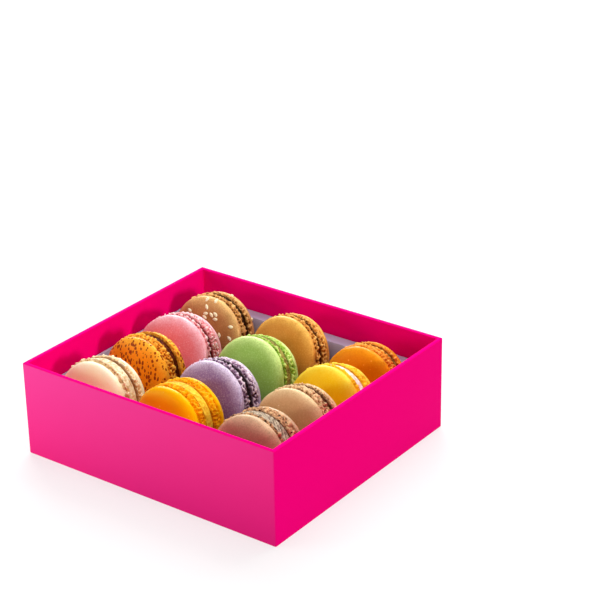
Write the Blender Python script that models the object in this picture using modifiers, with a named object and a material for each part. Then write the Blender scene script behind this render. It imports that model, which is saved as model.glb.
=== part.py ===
"""An open card tray of twelve almond macarons, which lean back in the troughs of a thin plastic insert.

Metres, +Z up. The origin is at the middle of the tray's underside. X runs along the long front wall and
Y from the front wall to the back wall. A macaron is made lying down, its own axis along Z and its front
shell on top, and an empty at its middle then stands it up and leans it back.
"""

import math
import random
from collections import namedtuple

import bmesh
import bpy
from mathutils import Matrix

MM = 0.001
GAP = 0.0003
MERGE = 0.00001
SMOOTH_ANGLE = math.radians(50)

# The tray, of folded card.
TRAY_LENGTH = 0.1624
TRAY_WIDTH = 0.1473
TRAY_HEIGHT = 0.0530
CARD = 0.0022
CARD_ROUND = 0.0007
CARD_ROUND_STEPS = 2

# Where the macarons stand: three columns of four, with their middles this high.
COLUMNS = 3
ROWS = 4
COLUMN_PITCH = 0.0514
ROW_PITCH = 0.0311
ROWS_MIDDLE_Y = 0.0010
MIDDLE_Z = 0.0295

# The insert, one thin sheet: a rim, three troughs with low ridges between the macarons, and a skirt.
SHEET = 0.0005
SKIRT_PLAY = 0.0007
SKIRT_DRAFT = 0.0002
RIM_Z = 0.0366
WEB_Z = 0.0326
FRONT_RIM = 0.0051
BACK_RIM = 0.0078
TROUGH_HALF_WIDTH = 0.0242
TROUGH_RADIUS = 0.0246
TROUGH_AXIS_Z = 0.0279
TROUGH_LINES = (0.0, 0.0085, 0.0160, 0.0212, 0.0237)
WALL_DRAFT = 0.0006
BACK_WALL_SLOPE = 0.0054
RIDGE_Z = 0.0120
RIDGE_HALF_WIDTH = 0.0022
RIDGE_FORWARD = 0.0036

# A macaron's shell, as shares of its radius, and its dome.
TURN_STEPS = 24
DOME_WIDTH = 0.98
CREASE_WIDTH = 0.955
FOOT_WIDTH = 1.0
FOOT_EDGE_WIDTH = 0.965
FOOT_BULGE_SHARE = 0.3
FILLING_WIDTH = 0.955
FILLING_BULGE = 0.97
DOME_HEIGHT = 0.0053
DOME_POWER = 2.6
DOME_RINGS = 4
LIP = 0.0009
RUFFLE = 0.00045
OVAL = 0.005
LOBES = 0.003
FIRST_SEED = 40

# Sesame seeds: half length, half width and half thickness, and how deep they sit.
SEED_SIZE = (0.00155, 0.00095, 0.00060)
SEED_SUNK = 0.00015
SLOPE_STEP = 0.0001
SEED_SIDES = 5
SEED_RINGS = 4

# Linear colours of the card and the plastic, and how rough each surface is.
CARD_COLOUR = (0.89, 0.0, 0.16, 1.0)
PLASTIC_COLOUR = (0.33, 0.27, 0.33, 1.0)
CARD_ROUGHNESS = 0.45
PLASTIC_ROUGHNESS = 0.15
SHELL_ROUGHNESS = 0.55
FILLING_ROUGHNESS = 0.5

# column and row count from the front left; shift is off the grid, in mm; lean is back and yaw to the
# right, in degrees. The heights are in mm along the macaron's axis, from its middle: the front shell's
# crease, the front and back of the filling, and the back shell's crease. rise and swing are how far the
# filling's planes move forward at the top and at the right.
Macaron = namedtuple(
    "Macaron",
    "name column row shift lean yaw diameter crease filling_front filling_back back_crease rise swing "
    "shell_colour filling_colour",
)
MACARONS = (
    Macaron("vanilla", 0, 0, (0.2, -1.0, -0.8), 12, 2, 46.3, 7.2, 5.0, -0.4, -6.2, 0.0, 0.0,
            (0.95, 0.75, 0.56, 1.0), (0.90, 0.76, 0.60, 1.0)),
    Macaron("speckled", 0, 1, (0.7, 2.0, 0.2), 9.5, -0.5, 44.5, 5.6, 0.3, -3.0, -5.8, -1.0, 0.0,
            (0.78, 0.25, 0.03, 1.0), (0.10, 0.015, 0.008, 1.0)),
    Macaron("rose", 0, 2, (0.0, -0.5, -0.5), 18.5, 6.5, 46.0, 6.6, 4.2, 2.0, -5.9, 0.0, 0.0,
            (0.93, 0.22, 0.26, 1.0), (0.04, 0.01, 0.012, 1.0)),
    Macaron("sesame", 0, 3, (-0.5, 0.1, 0.1), 11.5, 3, 45.3, 5.6, 1.5, -0.7, -5.0, 0.0, 0.0,
            (0.52, 0.22, 0.08, 1.0), (0.06, 0.02, 0.008, 1.0)),
    Macaron("apricot", 1, 0, (-0.6, 1.0, 1.1), 8, -1.5, 43.2, 8.4, 3.5, -1.0, -7.9, 0.0, 0.0,
            (0.86, 0.33, 0.02, 1.0), (0.88, 0.60, 0.18, 1.0)),
    Macaron("lilac", 1, 1, (0.0, 0.0, -0.1), 16.5, 0, 45.3, 6.5, 2.8, 0.4, -5.8, 0.0, 0.0,
            (0.36, 0.20, 0.34, 1.0), (0.04, 0.01, 0.03, 1.0)),
    Macaron("pistachio", 1, 2, (0.1, 1.1, 0.1), 20.5, 1, 45.4, 5.9, 3.7, 0.5, -5.6, 0.0, 0.0,
            (0.38, 0.63, 0.13, 1.0), (0.20, 0.17, 0.04, 1.0)),
    Macaron("caramel", 1, 3, (-0.3, 0.8, 0.7), 17, -2, 44.4, 5.5, 2.2, 1.0, -5.0, 0.0, 0.0,
            (0.66, 0.29, 0.04, 1.0), (0.07, 0.02, 0.006, 1.0)),
    Macaron("cocoa", 2, 0, (-0.2, -0.1, -0.2), 9.5, 1, 45.1, 7.7, 5.7, 0.6, -6.9, 0.0, 0.0,
            (0.52, 0.20, 0.10, 1.0), (0.28, 0.19, 0.12, 1.0)),
    Macaron("coffee", 2, 1, (0.4, 0.4, -0.4), 15, 0.5, 45.0, 6.3, -0.9, -2.1, -5.9, 0.0, 0.0,
            (0.75, 0.46, 0.22, 1.0), (0.80, 0.62, 0.38, 1.0)),
    Macaron("lemon", 2, 2, (0.2, -0.9, -0.8), 18.5, -1, 45.0, 7.1, 4.0, 0.3, -6.4, 0.9, -1.1,
            (0.96, 0.58, 0.05, 1.0), (0.93, 0.88, 0.78, 1.0)),
    Macaron("tangerine", 2, 3, (0.2, -1.4, -1.1), 12, 2, 44.4, 5.9, -0.5, -2.0, -5.0, 0.0, 0.0,
            (0.89, 0.24, 0.01, 1.0), (0.38, 0.18, 0.03, 1.0)),
)

# The sesame seeds on the shells of the macaron of that name: how far from the axis in mm, round it in
# degrees from its right side, and which way the seed points, in degrees from straight out.
FRONT_SEEDS = (
    (16.2, 133, 50), (16.5, 90, 10), (12.4, 92, 80), (9.3, 84, 40), (13.5, 74, 30), (16.2, 62, 15),
    (11.6, 52, 60), (18.7, 28, 70), (10.9, 13, 75), (16.9, 5, 40), (21.5, 89, 80), (21.5, 74, 60),
    (14.5, 196, 65), (11.0, 250, 20), (17.0, 300, 50),
)
BACK_SEEDS = (
    (21.5, 76, 60), (21.5, 28, 30), (15.0, 105, 20), (11.5, 50, 70), (6.0, 140, 45), (13.5, 170, 15),
    (16.5, 210, 60), (9.5, 265, 30), (17.5, 320, 80),
)


def clear_scene():
    for obj in list(bpy.data.objects):
        bpy.data.objects.remove(obj, do_unlink=True)


def new_collection(name):
    collection = bpy.data.collections.new(name)
    bpy.context.scene.collection.children.link(collection)
    return collection


def principled(name, colour, roughness):
    material = bpy.data.materials.new(name)
    material.use_nodes = True
    shader = material.node_tree.nodes["Principled BSDF"]
    shader.inputs["Base Color"].default_value = colour
    shader.inputs["Roughness"].default_value = roughness
    shader.inputs["Metallic"].default_value = 0.0
    material.diffuse_color = colour
    return material


def add_object(name, mesh, material, collection, parent=None):
    obj = bpy.data.objects.new(name, mesh)
    collection.objects.link(obj)
    obj.parent = parent
    mesh.materials.clear()
    mesh.materials.append(material)
    return obj


def mesh_from(bm, name):
    mesh = bpy.data.meshes.new(name)
    bm.to_mesh(mesh)
    bm.free()
    return mesh


def evaluated_mesh(obj):
    """The object's mesh with its modifiers applied."""
    graph = bpy.context.evaluated_depsgraph_get()
    return bpy.data.meshes.new_from_object(obj.evaluated_get(graph))


def make_tray(collection):
    """Four walls and a floor: an open cube, its sheet thickened inwards and its edges rounded."""
    bm = bmesh.new()
    bmesh.ops.create_cube(bm, size=1.0)
    bmesh.ops.scale(bm, vec=(TRAY_LENGTH, TRAY_WIDTH, TRAY_HEIGHT), verts=bm.verts)
    bmesh.ops.translate(bm, vec=(0, 0, TRAY_HEIGHT / 2), verts=bm.verts)
    top = [face for face in bm.faces if face.normal.z > 0.5]
    bmesh.ops.delete(bm, geom=top, context="FACES_ONLY")
    card = principled("card", CARD_COLOUR, CARD_ROUGHNESS)
    tray = add_object("tray", mesh_from(bm, "tray"), card, collection)

    walls = tray.modifiers.new("card thickness", "SOLIDIFY")
    walls.thickness = CARD
    walls.offset = -1
    walls.use_even_offset = True
    folds = tray.modifiers.new("rounded folds", "BEVEL")
    folds.width = CARD_ROUND
    folds.segments = CARD_ROUND_STEPS
    folds.limit_method = "ANGLE"


def column_x(column):
    return (column - (COLUMNS - 1) / 2) * COLUMN_PITCH


def row_y(row):
    return ROWS_MIDDLE_Y + (row - (ROWS - 1) / 2) * ROW_PITCH


def trough_z(across):
    """Height of a trough's surface at a distance from the column's middle."""
    return TROUGH_AXIS_Z - math.sqrt(TROUGH_RADIUS**2 - across**2)


def insert_lines_x(half_length):
    """The sheet's lines along X, as (x, height): the height is None on the rim's outline."""
    lines = [(-half_length, None)]
    for column in range(COLUMNS):
        middle = column_x(column)
        slope = [(side, trough_z(side)) for side in TROUGH_LINES]
        lines.append((middle - TROUGH_HALF_WIDTH, RIM_Z if column == 0 else WEB_Z))
        lines += [(middle - side, z) for side, z in reversed(slope[1:])]
        lines += [(middle + side, z) for side, z in slope]
        lines.append((middle + TROUGH_HALF_WIDTH, RIM_Z if column == COLUMNS - 1 else WEB_Z))
    return lines + [(half_length, None)]


def insert_lines_y(half_width):
    """The sheet's lines along Y, as (y, lowest height), from the front rim to the back rim."""
    front = -half_width + FRONT_RIM
    back = half_width - BACK_RIM
    lines = [(-half_width, RIM_Z), (front, RIM_Z), (front + WALL_DRAFT, 0)]
    for row in range(ROWS - 1):
        ridge = (row_y(row) + row_y(row + 1)) / 2 - RIDGE_FORWARD
        lines += [(ridge - RIDGE_HALF_WIDTH, 0), (ridge, RIDGE_Z), (ridge + RIDGE_HALF_WIDTH, 0)]
    return lines + [(back - BACK_WALL_SLOPE, 0), (back, RIM_Z), (half_width, RIM_Z)]


def make_insert(collection):
    """A grid drawn down into three troughs, with its outline drawn down into a skirt."""
    half_length = TRAY_LENGTH / 2 - CARD - SKIRT_PLAY - SKIRT_DRAFT
    half_width = TRAY_WIDTH / 2 - CARD - SKIRT_PLAY - SKIRT_DRAFT
    across = insert_lines_x(half_length)
    along = insert_lines_y(half_width)

    bm = bmesh.new()
    bmesh.ops.create_grid(bm, x_segments=len(across) - 1, y_segments=len(along) - 1, size=1.0)
    for vert in bm.verts:
        x, sheet_z = across[round((vert.co.x + 1) / 2 * (len(across) - 1))]
        y, lowest_z = along[round((vert.co.y + 1) / 2 * (len(along) - 1))]
        vert.co = (x, y, RIM_Z if sheet_z is None else max(sheet_z, lowest_z))

    outline = [edge for edge in bm.edges if edge.is_boundary]
    skirt = bmesh.ops.extrude_edge_only(bm, edges=outline)["geom"]
    for vert in (item for item in skirt if isinstance(item, bmesh.types.BMVert)):
        x, y, _ = vert.co
        if abs(x) > half_length - SKIRT_DRAFT:
            x += math.copysign(SKIRT_DRAFT, x)
        if abs(y) > half_width - SKIRT_DRAFT:
            y += math.copysign(SKIRT_DRAFT, y)
        vert.co = (x, y, CARD + GAP)
    bmesh.ops.recalc_face_normals(bm, faces=bm.faces)
    if max(bm.faces, key=lambda face: face.calc_center_median().z).normal.z < 0:
        bmesh.ops.reverse_faces(bm, faces=bm.faces)

    plastic = principled("plastic", PLASTIC_COLOUR, PLASTIC_ROUGHNESS)
    insert = add_object("insert", mesh_from(bm, "insert"), plastic, collection)
    sheet = insert.modifiers.new("sheet thickness", "SOLIDIFY")
    sheet.thickness = SHEET
    sheet.offset = -1
    sheet.use_even_offset = True


def turned_mesh(name, profile):
    """A closed solid of revolution about Z, from a section that runs down its outer side."""
    bm = bmesh.new()
    verts = [bm.verts.new((radius, 0, z)) for radius, z in profile]
    for upper, lower in zip(verts, verts[1:]):
        bm.edges.new((upper, lower))
    obj = bpy.data.objects.new(name, mesh_from(bm, name))
    bpy.context.scene.collection.objects.link(obj)
    screw = obj.modifiers.new("turn", "SCREW")
    screw.steps = TURN_STEPS
    screw.render_steps = TURN_STEPS
    screw.use_merge_vertices = True
    screw.merge_threshold = MERGE
    mesh = evaluated_mesh(obj)
    bpy.data.objects.remove(obj, do_unlink=True)
    return mesh


def dome_height(radius, dome_radius):
    """Height of a dome's surface above its widest ring."""
    return DOME_HEIGHT * (1 - (radius / dome_radius) ** DOME_POWER) ** (1 / DOME_POWER)


def shell_profile(radius, crease, joint):
    """A shell's section, dome up: dome, crease, foot and flat inner face, as (radius, z)."""
    foot = crease - joint
    profile = []
    for ring in range(DOME_RINGS + 1):
        turn = math.pi / 2 * ring / DOME_RINGS
        out = DOME_WIDTH * radius * math.sin(turn) ** (2 / DOME_POWER)
        up = DOME_HEIGHT * max(math.cos(turn), 0) ** (2 / DOME_POWER)
        profile.append((out, crease + LIP + up))
    profile.append((CREASE_WIDTH * radius, crease))
    profile.append((FOOT_WIDTH * radius, crease - FOOT_BULGE_SHARE * foot))
    profile.append((FOOT_WIDTH * radius, joint + FOOT_BULGE_SHARE * foot))
    profile.append((FOOT_EDGE_WIDTH * radius, joint))
    profile.append((0, joint))
    return profile


def filling_profile(radius, top, bottom):
    return [
        (0, top),
        (FILLING_WIDTH * radius, top),
        (FILLING_BULGE * radius, (top + bottom) / 2),
        (FILLING_WIDTH * radius, bottom),
        (0, bottom),
    ]


def shape_by_hand(mesh, macaron, seed, crease=None, joint=None):
    """Takes a turned piece out of true: out of round, with a ruffled foot between its crease and its joint,
    and with the joint sloped as the filling lies. Without a crease, the piece is the filling."""
    draw = random.Random(seed)
    oval, lobes = draw.uniform(0, math.tau), draw.uniform(0, math.tau)
    radius = macaron.diameter * MM / 2
    for vert in mesh.vertices:
        x, y, z = vert.co
        angle = math.atan2(y, x)
        grow = 1 + OVAL * math.cos(2 * angle + oval) + LOBES * math.cos(3 * angle + lobes)
        down_foot = 1.0 if crease is None else min(max((crease - z) / (crease - joint), 0), 1)
        if 0.5 * FOOT_BULGE_SHARE < down_foot < 1 - 0.5 * FOOT_BULGE_SHARE:
            grow += draw.uniform(-RUFFLE, RUFFLE) / radius
        slope = (macaron.rise * y + macaron.swing * x) / radius * MM
        vert.co = (x * grow, y * grow, z + down_foot * slope)
    mesh.shade_smooth()
    mesh.set_sharp_from_angle(angle=SMOOTH_ANGLE)


def make_shell(macaron, side, material, seed, parent, collection):
    """The front shell where side is 1, or the back shell where it is -1."""
    name = f"{macaron.name}_{'front' if side > 0 else 'back'}"
    crease = (macaron.crease if side > 0 else macaron.back_crease) * MM
    joint = (macaron.filling_front if side > 0 else macaron.filling_back) * MM + side * GAP / 2
    profile = shell_profile(macaron.diameter * MM / 2, side * crease, side * joint)
    if side < 0:
        profile = [(radius, -z) for radius, z in reversed(profile)]
    mesh = turned_mesh(name, profile)
    shape_by_hand(mesh, macaron, seed, crease, joint)
    return add_object(name, mesh, material, collection, parent)


def make_filling(macaron, seed, parent, collection):
    name = f"{macaron.name}_filling"
    top = macaron.filling_front * MM - GAP / 2
    bottom = macaron.filling_back * MM + GAP / 2
    mesh = turned_mesh(name, filling_profile(macaron.diameter * MM / 2, top, bottom))
    shape_by_hand(mesh, macaron, seed)
    material = principled(name, macaron.filling_colour, FILLING_ROUGHNESS)
    add_object(name, mesh, material, collection, parent)


def make_seed(macaron, side, away, round_axis, turn, parent, collection):
    """A sesame seed lying flat on a dome."""
    radius = away * MM
    dome_radius = DOME_WIDTH * macaron.diameter * MM / 2
    widest = side * (macaron.crease if side > 0 else macaron.back_crease) * MM + LIP
    height = dome_height(radius, dome_radius)
    slope = math.atan2(dome_height(radius - SLOPE_STEP, dome_radius) - height, SLOPE_STEP)
    bm = bmesh.new()
    bmesh.ops.create_uvsphere(bm, u_segments=SEED_SIDES, v_segments=SEED_RINGS, radius=1.0)
    mesh = mesh_from(bm, "seed")
    mesh.transform(
        Matrix.Rotation(math.radians(round_axis), 4, "Z")
        @ Matrix.Translation((radius, 0, side * (widest + height - SEED_SUNK)))
        @ Matrix.Rotation(side * slope, 4, "Y")
        @ Matrix.Rotation(math.radians(turn), 4, "Z")
        @ Matrix.Diagonal((*SEED_SIZE, 1.0))
    )
    seed = bpy.data.objects.new("seed", mesh)
    seed.parent = parent
    collection.objects.link(seed)


def fuse_seeds(shell, macaron, side, places):
    """Joins a dome and its seeds into one solid."""
    seeds = new_collection("seeds")
    for away, round_axis, turn in places:
        make_seed(macaron, side, away, round_axis, turn, shell.parent, seeds)
    union = shell.modifiers.new("seeds", "BOOLEAN")
    union.operation = "UNION"
    union.operand_type = "COLLECTION"
    union.collection = seeds
    fused = evaluated_mesh(shell)
    shell.modifiers.remove(union)
    shell.data = fused
    for seed in list(seeds.objects):
        bpy.data.objects.remove(seed, do_unlink=True)
    bpy.data.collections.remove(seeds)


def make_macaron(macaron, seed, collection):
    stand = bpy.data.objects.new(f"{macaron.name}_stand", None)
    collection.objects.link(stand)
    right, back, up = (away * MM for away in macaron.shift)
    stand.location = (column_x(macaron.column) + right, row_y(macaron.row) + back, MIDDLE_Z + up)
    stand.rotation_euler = (math.radians(90 - macaron.lean), 0, math.radians(macaron.yaw))
    material = principled(f"{macaron.name}_shell", macaron.shell_colour, SHELL_ROUGHNESS)
    front = make_shell(macaron, 1, material, seed, stand, collection)
    make_filling(macaron, seed + 1, stand, collection)
    back = make_shell(macaron, -1, material, seed + 2, stand, collection)
    if macaron.name == "sesame":
        fuse_seeds(front, macaron, 1, FRONT_SEEDS)
        fuse_seeds(back, macaron, -1, BACK_SEEDS)


def main():
    clear_scene()
    collection = new_collection("macaron_box")
    make_tray(collection)
    make_insert(collection)
    for place, macaron in enumerate(MACARONS):
        make_macaron(macaron, FIRST_SEED + 3 * place, collection)


main()
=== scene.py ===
"""The looks of the macaron box: card tray, thin plastic insert and twelve almond macarons.

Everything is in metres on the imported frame. A macaron is modelled lying down, its own axis along Z and
its dome up, then turned over if it is a back shell, stood up, leaned back and moved to its place.
"""

import math
import random
from collections import namedtuple

import bpy
import numpy as np
from mathutils import Euler, Matrix, Vector


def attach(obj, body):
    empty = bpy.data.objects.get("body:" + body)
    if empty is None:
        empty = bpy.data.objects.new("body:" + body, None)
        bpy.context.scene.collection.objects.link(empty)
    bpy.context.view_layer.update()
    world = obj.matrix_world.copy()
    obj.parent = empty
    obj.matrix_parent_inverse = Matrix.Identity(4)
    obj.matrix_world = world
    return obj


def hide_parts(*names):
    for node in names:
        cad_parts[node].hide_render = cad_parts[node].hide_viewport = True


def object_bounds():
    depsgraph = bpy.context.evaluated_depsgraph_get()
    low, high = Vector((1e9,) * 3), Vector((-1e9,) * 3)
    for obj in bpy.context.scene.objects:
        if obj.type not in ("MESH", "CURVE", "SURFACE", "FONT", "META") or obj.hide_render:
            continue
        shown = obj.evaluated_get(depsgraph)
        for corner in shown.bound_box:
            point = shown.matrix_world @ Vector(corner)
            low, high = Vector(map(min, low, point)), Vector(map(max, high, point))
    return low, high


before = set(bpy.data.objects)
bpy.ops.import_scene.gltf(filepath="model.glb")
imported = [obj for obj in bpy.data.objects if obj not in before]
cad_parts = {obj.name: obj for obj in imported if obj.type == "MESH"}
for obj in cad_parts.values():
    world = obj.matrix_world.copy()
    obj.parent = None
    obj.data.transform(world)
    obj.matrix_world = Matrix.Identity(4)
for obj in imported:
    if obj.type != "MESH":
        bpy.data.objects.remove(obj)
cad_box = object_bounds()

MM = 0.001
# The play between pieces, and how near to each other points are merged.
GAP = 0.00012
WELD = 0.000002

# The photograph's camera: angles in degrees, the focal length in pixels of a photograph PHOTO_WIDTH wide,
# and its place along its own right, up and back, in tray lengths as the camera was solved.
CAMERA_AZIMUTH, CAMERA_ELEVATION, CAMERA_ROLL = 36.813, 25.066, -1.016
CAMERA_FOCAL = 1944.16
PHOTO_WIDTH = 600
CAMERA_PLACE = (0.2048, 0.4562, 6.3645)
CAMERA_UNIT = 0.16236
SENSOR = 36.0

# The tray and the insert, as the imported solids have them.
TRAY_LENGTH = 0.1624
TRAY_WIDTH = 0.1473
TRAY_HEIGHT = 0.0530
CARD = 0.0022
CARD_ROUND = 0.0007
COLUMNS = 3
ROWS = 4
COLUMN_PITCH = 0.0514
ROW_PITCH = 0.0311
ROWS_MIDDLE_Y = 0.0010
MIDDLE_Z = 0.0295
SHEET = 0.0004
SKIRT_PLAY = 0.0007
SKIRT_DRAFT = 0.0002
RIM_Z = 0.0366
WEB_Z = 0.0326
FRONT_RIM = 0.0051
BACK_RIM = 0.0078
TROUGH_HALF_WIDTH = 0.0242
TROUGH_RADIUS = 0.0246
TROUGH_AXIS_Z = 0.0279
WALL_DRAFT = 0.0006
BACK_WALL_SLOPE = 0.0054
RIDGE_Z = 0.0120
RIDGE_HALF_WIDTH = 0.0022
RIDGE_FORWARD = 0.0036
# The grid that the insert's sheet is drawn from, and how its corners and the card's folds are rounded.
SHEET_STEP = 0.0010
MOULD_SOFTENING = 0.5
MOULD_PASSES = 2
FOLD_SEGMENTS = 4

# A macaron's section, turned in so many steps. Widths are shares of its radius: the dome, narrower on
# some, the crease, the foot, the foot's edge by the filling, the inner face, a ring on it, and how far
# the filling bulges.
TURN_STEPS = 460
DOME_WIDTH = 0.98
NARROW_DOMES = {"vanilla": 0.95}
CREASE_WIDTH = 0.957
FOOT_WIDTH = 0.992
FOOT_EDGE_WIDTH = 0.950
INNER_WIDTH = 0.930
INNER_RING = 0.8
FILLING_BULGE = 0.012

# The dome's height over its lip and the power of its curve. The lip rolls in to the crease by way of a
# point that lies a share of the way in and up. A back shell's crease lies nearer the filling than the
# table has it, and its dome is as much higher.
DOME_HEIGHT = 0.0053
DOME_POWER = 2.6
DOME_RINGS = 12
LIP = 0.0009
LIP_IN = 0.4
LIP_UP = 0.35
BACK_TRIM = 0.0008

# How high a row of points is on a foot and on a filling, the least rows that each has, and how quickly a
# foot swells to its full width.
FOOT_ROW = 0.00032
LEAST_FOOT_ROWS = 6
LEAST_FILLING_ROWS = 4
FOOT_SWELL = 1.5

# How far a shell is from round, as shares of its radius.
OVAL = 0.004
LOBES = 0.002
# A line round the shell that wanders: how far, over what height, from what share of the radius on, and
# how many waves of each kind go round. The waves are drawn between a least share of their height and all
# of it, and finer ones are lower.
Wander = namedtuple("Wander", "far reach beyond waves")
CREASE_WANDER = Wander(0.0005, 0.0012, 0.9, (3, 7, 11, 19, 31))
JOINT_WANDER = Wander(0.0004, 0.0009, 0.94, (5, 13, 23, 37))
LEAST_WAVE = 0.4
WAVE_FADE = 0.7
# The random draws of the macarons start from this number, and each piece has the next one.
FIRST_DRAW = 40

# The side of a shell starts at this share of its radius. The foot's finish fades out up the lip.
SIDE_START = 0.9
FOOT_FADE = 0.6 * LIP
# The foot is ruffled in patches, less so over its last sixth by the filling, and less on some backs.
PATCH_WAVES = (2, 3, 5, 9)
PATCH_LEVEL = 0.75
PATCH_REACH = 0.25
LEAST_PATCH = 0.35
RUFFLE_TOP = -0.01
RUFFLE_FADE = 6
LEAST_RUFFLE = 0.5
SMOOTH_BACKS = {"speckled": 0.45}
# Cracks keep near the crease, and the dome swells less towards its edge.
CRACK_REACH = 0.00045
SWELL_LOSS = 0.6
SWELL_LOSS_POWER = 4
# How far in or out counts as the full depth: on the roughest foot, and what every foot adds to that.
FULL_DEPTH = 0.0005
LEAST_DEPTH = 0.0001
# Crumbs may stand this far past the shell's radius, above the middle alone.
CREST = 0.0005
CREST_SPREAD = 1.5
# The gap by the filling, painted dark as shade, as a share of the foot's height, and the share of it that
# is a fade.
SHADED_GAP = 0.18
WIDE_SHADED_GAPS = {"vanilla": 0.32}
SHADED_GAP_FADE = 0.67
# The dome's rounded edge is glossier and paler from these shares of the radius on, a paler rim with
# painted highlight, and palest towards the crown, by the sine of the angle round the axis, as painted
# light from above.
GLOSS_START = 0.76
GLOSS_POWER = 2
PALE_START = 0.70
PALE_POWER = 1.5
PAINTED_LIGHT_SIDES = 0.22
PAINTED_LIGHT_CROWN = 0.85
LEAST_PAINTED_LIGHT = 0.05

# The filling piped in slanted ridges: how many go round, how they slant in radians of the wave a metre,
# how far they sway in how many waves, and how far they stand out.
RIDGED = ("cocoa",)
RIDGE_TURNS = 38
RIDGE_SLANT = 3300
RIDGE_SWAY = 0.8
RIDGE_SWAYS = 5
RIDGE_REACH = 0.00025

# The macaron with sesame seeds. A seed's half length, width and height, how it narrows to its point and
# how deep it is sunk, and the step over which the dome's slope under it is taken.
SEEDED = "sesame"
SEED_SIZE = (0.00155, 0.00095, 0.00060)
SEED_TAPER = 0.45
SEED_TAPER_POWER = 1.5
SEED_SUNK = 0.00002
SLOPE_STEP = 0.0001

# Edges sharper than so many degrees stay sharp.
SHELL_SMOOTH = 60
FILLING_SMOOTH = 50
FOLD_SMOOTH = 40

# Each macaron: its column from the left and row from the front, how far it is shifted right, back and up
# in mm, how far it leans back and turns in degrees, and its diameter in mm. Then, in mm along its own
# axis, its front crease, the filling's front and back faces and its back crease, and how far the
# filling's faces are shifted at the crown and at the right side.
Macaron = namedtuple(
    "Macaron",
    "name column row shift lean yaw diameter crease filling_front filling_back back_crease rise swing",
)
MACARONS = (
    Macaron("vanilla", 0, 0, (0.2, -1.0, -0.8), 12, 2, 46.3, 7.2, 5.0, -0.4, -6.2, 0.0, 0.0),
    Macaron("speckled", 0, 1, (0.7, 2.0, 0.2), 9.5, -0.5, 44.5, 5.6, 0.3, -3.0, -5.8, -1.0, 0.0),
    Macaron("rose", 0, 2, (0.0, -0.5, -0.5), 18.5, 6.5, 46.0, 6.6, 4.2, 2.0, -5.9, 0.0, 0.0),
    Macaron("sesame", 0, 3, (-0.5, 0.1, 0.1), 11.5, 3, 45.3, 5.6, 1.5, -0.7, -5.0, 0.0, 0.0),
    Macaron("apricot", 1, 0, (-0.6, 1.0, 1.1), 8, -1.5, 43.2, 8.4, 3.5, -1.0, -7.9, 0.0, 0.0),
    Macaron("lilac", 1, 1, (0.0, 0.0, -0.1), 16.5, 0, 45.3, 6.5, 2.8, 0.4, -5.8, 0.0, 0.0),
    Macaron("pistachio", 1, 2, (0.1, 1.1, 0.1), 20.5, 1, 45.4, 5.9, 3.7, 0.5, -5.6, 0.0, 0.0),
    Macaron("caramel", 1, 3, (-0.3, 0.8, 0.7), 17, -2, 44.4, 5.5, 2.2, 1.0, -5.0, 0.0, 0.0),
    Macaron("cocoa", 2, 0, (-0.2, -0.1, -0.2), 9.5, 1, 45.1, 7.7, 5.7, 0.6, -6.9, 0.0, 0.0),
    Macaron("coffee", 2, 1, (0.4, 0.4, -0.4), 15, 0.5, 45.0, 6.3, -0.9, -2.1, -5.9, 0.0, 0.0),
    Macaron("lemon", 2, 2, (0.2, -0.9, -0.8), 18.5, -1, 45.0, 7.1, 4.0, 0.3, -6.4, 0.9, -1.1),
    Macaron("tangerine", 2, 3, (0.2, -1.4, -1.1), 12, 2, 44.4, 5.9, -0.5, -2.0, -5.0, 0.0, 0.0),
)

# Colours as a screen shows them, 0 to 255. The dome's face and its rounded edge, a paler rim with painted
# highlight, the foot's crumb, its high crumbs with painted highlight and its pits with painted shade, and
# the filling's face and shaded parts. Then how rough the foot is, from 0 to 1, and the filling's width as
# a share of the shell's.
Look = namedtuple("Look", "dome edge foot crumb pit filling filling_shade rough filling_width")
LOOKS = {
    "vanilla": Look((255, 243, 184), (255, 248, 230), (238, 204, 150), (255, 238, 202),
                    (194, 130, 70), (250, 236, 200), (214, 170, 110), 0.92, 0.955),
    "speckled": Look((255, 138, 13), (255, 204, 70), (240, 148, 40), (254, 188, 72),
                     (160, 62, 10), (98, 32, 6), (50, 16, 4), 1.0, 0.925),
    "rose": Look((239, 122, 132), (255, 218, 226), (240, 142, 148), (255, 216, 216),
                 (172, 34, 40), (60, 14, 20), (24, 5, 8), 0.90, 0.925),
    "sesame": Look((186, 125, 76), (250, 204, 132), (204, 140, 76), (236, 180, 112),
                   (88, 42, 14), (70, 42, 28), (40, 22, 14), 0.95, 0.930),
    "apricot": Look((255, 182, 2), (255, 194, 8), (247, 154, 4), (255, 182, 18),
                    (224, 122, 8), (255, 208, 64), (240, 166, 24), 0.70, 0.964),
    "lilac": Look((132, 92, 147), (252, 238, 255), (144, 108, 138), (232, 208, 222),
                  (66, 34, 48), (48, 30, 38), (20, 12, 16), 1.0, 0.925),
    "pistachio": Look((147, 187, 82), (232, 252, 164), (152, 192, 66), (208, 228, 124),
                      (96, 104, 28), (164, 150, 74), (92, 78, 28), 0.75, 0.975),
    "caramel": Look((212, 132, 52), (254, 206, 104), (214, 140, 60), (246, 190, 106),
                    (108, 42, 12), (88, 36, 16), (44, 16, 8), 0.90, 0.925),
    "cocoa": Look((178, 142, 112), (238, 200, 160), (182, 130, 92), (218, 172, 126),
                  (74, 32, 16), (200, 180, 154), (92, 68, 54), 0.80, 0.966),
    "coffee": Look((212, 162, 112), (244, 216, 166), (198, 150, 106), (238, 200, 152),
                   (120, 64, 34), (120, 70, 44), (66, 34, 20), 0.95, 0.935),
    "lemon": Look((254, 199, 3), (255, 230, 84), (250, 190, 24), (255, 214, 62),
                  (206, 128, 10), (255, 248, 240), (236, 206, 168), 0.60, 0.965),
    "tangerine": Look((228, 122, 4), (252, 168, 34), (230, 136, 42), (250, 176, 80),
                      (168, 72, 20), (150, 110, 46), (90, 60, 20), 0.70, 0.945),
}

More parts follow.
